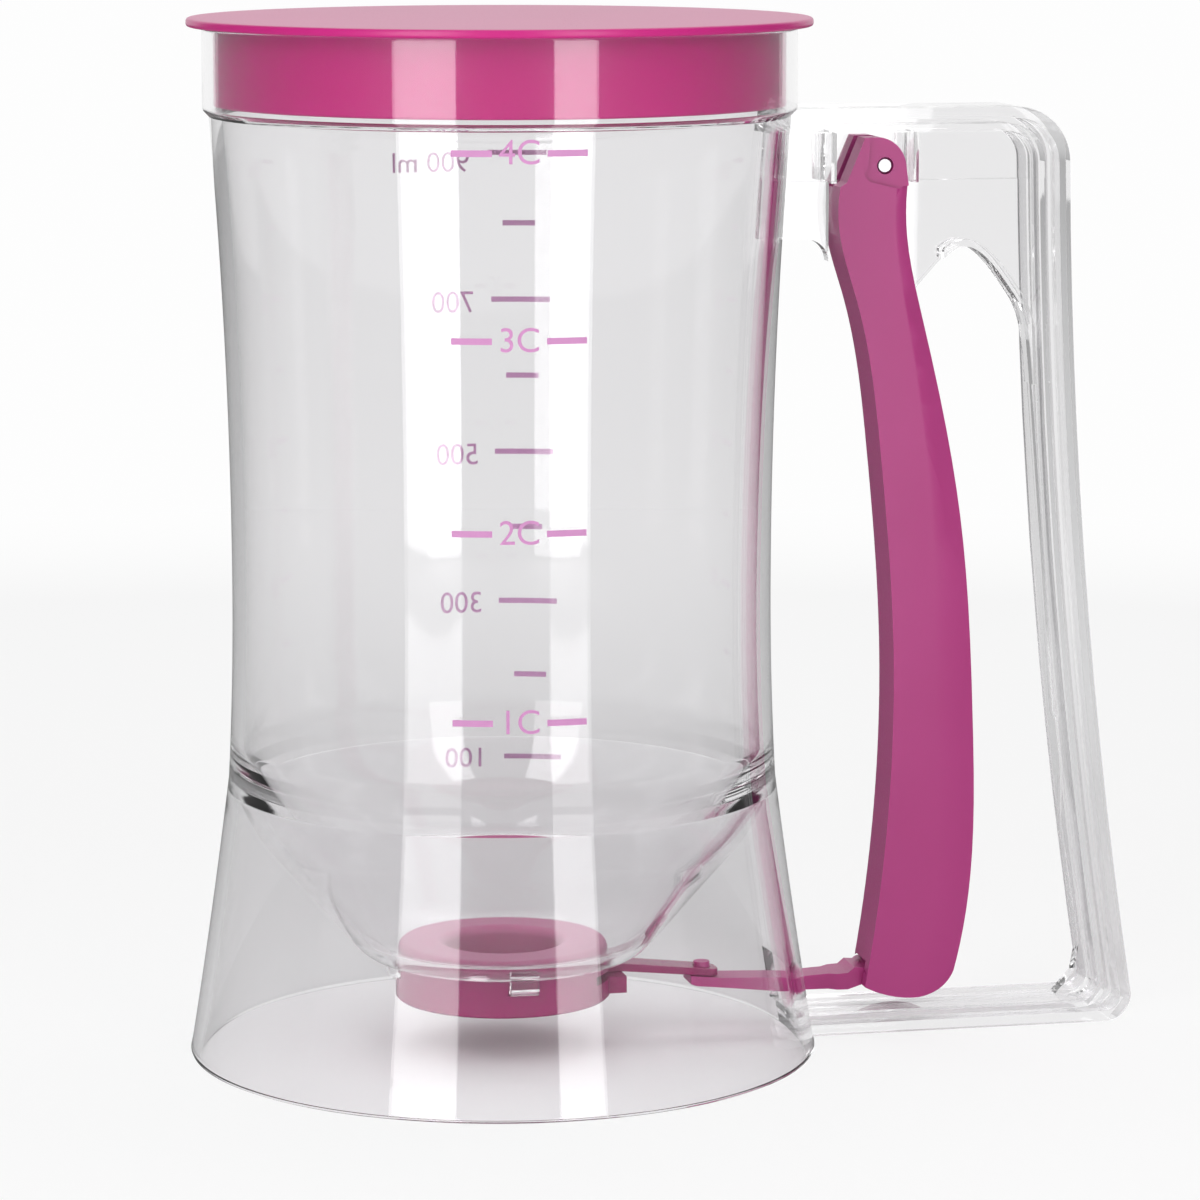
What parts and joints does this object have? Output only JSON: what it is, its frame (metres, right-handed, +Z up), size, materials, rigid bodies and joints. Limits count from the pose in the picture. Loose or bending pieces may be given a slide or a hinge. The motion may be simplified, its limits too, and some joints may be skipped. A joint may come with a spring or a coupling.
{
  "type": "batter dispenser",
  "caption": "Clear jug with a funnel and a sliding valve in its base, a push-in lid and a squeeze trigger in its handle.",
  "frame": {"origin": "centre of the jug's base circle, on the surface that the dispenser stands on", "axes": "+Z up along the jug's axis, +X from that axis to the handle, +Y across the handle"},
  "size_m": [0.1731, 0.1128, 0.185],
  "materials": {
    "clear_body": "clear, polished",
    "lid": "gloss, slightly translucent",
    "trigger": "satin gloss",
    "valve": "gloss",
    "seal": "soft silicone, translucent",
    "steel": "plain"
  },
  "bodies": {
    "body": {"jug": "clear_body", "funnel": "clear_body", "handle": "clear_body", "pivot_pin": "steel", "return_spring": "steel", "valve_housing": "valve", "valve_seal": "seal"},
    "trigger": {"trigger": "trigger"},
    "gate": {"valve_gate": "valve"},
    "arm": {"pull_arm": "trigger"},
    "lid": {"lid": "lid"}
  },
  "joints": [
    {"name": "trigger_pivot", "type": "hinge", "parent": "body", "child": "trigger", "pos_m": [0.0685, 0, 0.1583], "axis": [0, -1, 0], "range_deg": [0, 8], "stiffness_Nm_per_rad": 0.8, "springref_deg": -14.32, "deforming": ["return_spring"]},
    {"name": "valve_slide", "type": "slide", "parent": "body", "child": "gate", "axis": [1, 0, 0], "range_m": [0, 0.0206]},
    {"name": "arm_tilt", "type": "hinge", "parent": "gate", "child": "arm", "pos_m": [0.037, 0, 0.0115], "axis": [0, -1, 0], "range_deg": [0, 2.54]},
    {"name": "lid_lift", "type": "slide", "parent": "body", "child": "lid", "axis": [0, 0, 1], "range_m": [0, 0.03]}
  ],
  "couplings": [
    {"joint": "valve_slide", "follows": "trigger_pivot", "m_per_rad": 0.1475},
    {"joint": "arm_tilt", "follows": "trigger_pivot", "ratio": 0.317}
  ]
}
